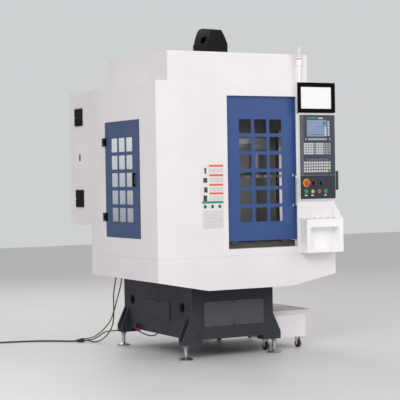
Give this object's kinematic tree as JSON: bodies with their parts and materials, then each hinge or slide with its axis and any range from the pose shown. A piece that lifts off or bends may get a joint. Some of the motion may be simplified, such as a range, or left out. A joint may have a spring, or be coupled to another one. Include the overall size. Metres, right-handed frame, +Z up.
{
  "type": "cnc machining center",
  "caption": "Compact vertical machining centre with sheet-metal enclosure, sliding glazed door, control panel, rear cabinet, cast base and coolant tank.",
  "frame": {"origin": "centre of the machine's footprint on the floor, cords left out", "axes": "+X to the machine's right as its operator sees it, +Y from the operator's side to the rear, +Z up"},
  "size_m": [2.103, 2.247, 2.3135],
  "materials": {
    "base_paint": "dark grey machine enamel, satin",
    "cover_paint": "dark grey powder coat, fine texture",
    "plated_steel": "zinc plated",
    "lever_red": "red dipped coating",
    "white_paint": "off-white powder coat, fine orange peel",
    "hood_black": "black powder coat, low sheen",
    "vent_black": "matt black",
    "drive_grey": "moulded grey housings",
    "rail_steel": "blackened steel",
    "door_blue": "blue powder coat, satin",
    "door_glass": "laminated clear pane",
    "frosted_glass": "pale obscured pane",
    "handle_chrome": "polished bar",
    "fitting_black": "black powder coat",
    "casting_grey": "light grey enamel on castings",
    "motor_black": "black, ribbed",
    "ground_iron": "ground and scraped",
    "spindle_steel": "ground steel",
    "carousel_grey": "satin",
    "bezel_black": "gloss black bezel",
    "screen_glass": "lit display",
    "panel_grey": "dark membrane panel",
    "key_plastic": "moulded keys",
    "stop_red": "red mushroom",
    "knob_black": "black pointer knob",
    "button_green": "green push button",
    "button_yellow": "yellow push button",
    "button_red": "red push button",
    "handwheel_plastic": "grey case",
    "dial_metal": "black anodised dial",
    "beacon_grey": "grey column",
    "beacon_clear": "clear lens",
    "tank_grey": "pale grey enamel",
    "lid_steel": "grey enamel sheet",
    "pump_paint": "blue-grey pump enamel",
    "wheel_rubber": "hard rubber tread",
    "gland_plastic": "nylon gland",
    "cord_black": "black sheath",
    "cord_green": "green sheath",
    "cord_grey": "dark grey sheath",
    "boot_rubber": "moulded boot",
    "plug_red": "red industrial plug"
  },
  "bodies": {
    "machine": {"base_casting": "base_paint", "base_covers": "cover_paint", "leveling_feet": "plated_steel", "chip_tray": "white_paint", "front_panel": "white_paint", "left_panel": "white_paint", "right_panel": "white_paint", "rear_panel": "white_paint", "roof": "white_paint", "motor_hood": "hood_black", "cabinet_shell": "white_paint", "cabinet_vents": "vent_black", "cabinet_electrics": "drive_grey", "door_rails": "rail_steel", "column": "casting_grey", "monitor": "bezel_black", "display_screens": "screen_glass", "control_box": "white_paint", "control_panel": "panel_grey", "panel_keys": "key_plastic", "handwheel_unit": "handwheel_plastic", "tool_rack": "white_paint", "beacon_body": "beacon_grey", "beacon_lens": "beacon_clear", "coolant_tank": "tank_grey", "tank_lid": "lid_steel", "coolant_pump": "pump_paint", "cable_glands": "gland_plastic", "black_lead": "cord_black", "green_lead": "cord_green", "base_lead": "cord_grey", "cable_breakout": "boot_rubber", "supply_cable": "cord_grey", "supply_coil": "cord_grey", "supply_plug": "plug_red"},
    "drain_lever": {"drain_lever": "lever_red"},
    "front_door": {"front_door": "door_blue", "front_door_glass": "door_glass", "front_door_handle": "handle_chrome"},
    "side_door": {"side_door": "door_blue", "side_door_glass": "frosted_glass", "side_door_fittings": "fitting_black"},
    "cabinet_door": {"cabinet_door": "white_paint"},
    "saddle": {"saddle": "ground_iron"},
    "table": {"table": "ground_iron"},
    "spindle_head": {"spindle_head": "casting_grey", "spindle_motor": "motor_black"},
    "spindle": {"spindle": "spindle_steel"},
    "magazine": {"magazine_carriage": "casting_grey"},
    "carousel": {"tool_carousel": "carousel_grey"},
    "emergency_stop": {"emergency_stop": "stop_red"},
    "feed_knob": {"feed_knob": "knob_black"},
    "speed_knob": {"speed_knob": "knob_black"},
    "start_button": {"start_button": "button_green"},
    "hold_button": {"hold_button": "button_yellow"},
    "stop_button": {"stop_button": "button_red"},
    "reset_button": {"reset_button": "button_green"},
    "handwheel_dial": {"handwheel_dial": "dial_metal"},
    "front_wheels": {"front_wheels": "wheel_rubber"},
    "rear_wheels": {"rear_wheels": "wheel_rubber"}
  },
  "joints": [
    {"name": "front_door_slide", "type": "slide", "parent": "machine", "child": "front_door", "axis": [-1, 0, 0], "range_m": [0, 0.49]},
    {"name": "side_door_hinge", "type": "hinge", "parent": "machine", "child": "side_door", "pos_m": [-0.73125, 0.124, 1.24], "axis": [0, 0, -1], "range_deg": [0, 110]},
    {"name": "cabinet_door_hinge", "type": "hinge", "parent": "machine", "child": "cabinet_door", "pos_m": [0.28575, 0.774, 1.4], "axis": [0, 0, -1], "range_deg": [0, 120]},
    {"name": "saddle_slide_y", "type": "slide", "parent": "machine", "child": "saddle", "axis": [0, 1, 0], "range_m": [-0.15, 0.15]},
    {"name": "table_slide_x", "type": "slide", "parent": "saddle", "child": "table", "axis": [1, 0, 0], "range_m": [-0.25, 0.25]},
    {"name": "head_slide_z", "type": "slide", "parent": "machine", "child": "spindle_head", "axis": [0, 0, 1], "range_m": [-0.3, 0]},
    {"name": "spindle_turn", "type": "hinge", "parent": "spindle_head", "child": "spindle", "pos_m": [-0.06225, -0.259, 1.3], "axis": [0, 0, 1], "continuous": true},
    {"name": "magazine_slide", "type": "slide", "parent": "machine", "child": "magazine", "axis": [-1, 0, 0], "range_m": [0, 0.17]},
    {"name": "carousel_turn", "type": "hinge", "parent": "magazine", "child": "carousel", "pos_m": [0.29775, -0.259, 1.25], "axis": [0, 0, 1], "continuous": true},
    {"name": "emergency_stop_push", "type": "slide", "parent": "machine", "child": "emergency_stop", "axis": [0, 1, 0], "range_m": [0, 0.004]},
    {"name": "feed_knob_turn", "type": "hinge", "parent": "machine", "child": "feed_knob", "pos_m": [0.49175, -0.711, 1.196], "axis": [0, -1, 0], "range_deg": [-150, 150]},
    {"name": "speed_knob_turn", "type": "hinge", "parent": "machine", "child": "speed_knob", "pos_m": [0.55475, -0.711, 1.196], "axis": [0, -1, 0], "range_deg": [-150, 150]},
    {"name": "start_button_push", "type": "slide", "parent": "machine", "child": "start_button", "axis": [0, 1, 0], "range_m": [0, 0.003], "stiffness_N_per_m": 400, "springref_m": -0.002},
    {"name": "hold_button_push", "type": "slide", "parent": "machine", "child": "hold_button", "axis": [0, 1, 0], "range_m": [0, 0.003], "stiffness_N_per_m": 400, "springref_m": -0.002},
    {"name": "stop_button_push", "type": "slide", "parent": "machine", "child": "stop_button", "axis": [0, 1, 0], "range_m": [0, 0.003], "stiffness_N_per_m": 400, "springref_m": -0.002},
    {"name": "reset_button_push", "type": "slide", "parent": "machine", "child": "reset_button", "axis": [0, 1, 0], "range_m": [0, 0.003], "stiffness_N_per_m": 400, "springref_m": -0.002},
    {"name": "handwheel_turn", "type": "hinge", "parent": "machine", "child": "handwheel_dial", "pos_m": [0.72125, -0.639, 1.236], "axis": [1, 0, 0], "continuous": true},
    {"name": "front_wheels_roll", "type": "hinge", "parent": "machine", "child": "front_wheels", "pos_m": [0.45525, -0.321, 0.03], "axis": [1, 0, 0], "continuous": true},
    {"name": "rear_wheels_roll", "type": "hinge", "parent": "machine", "child": "rear_wheels", "pos_m": [0.45525, 0.367, 0.03], "axis": [1, 0, 0], "continuous": true},
    {"name": "drain_lever_turn", "type": "hinge", "parent": "machine", "child": "drain_lever", "pos_m": [-0.41825, 0.333, 0.16], "axis": [1, 0, 0], "range_deg": [0, 90]}
  ]
}
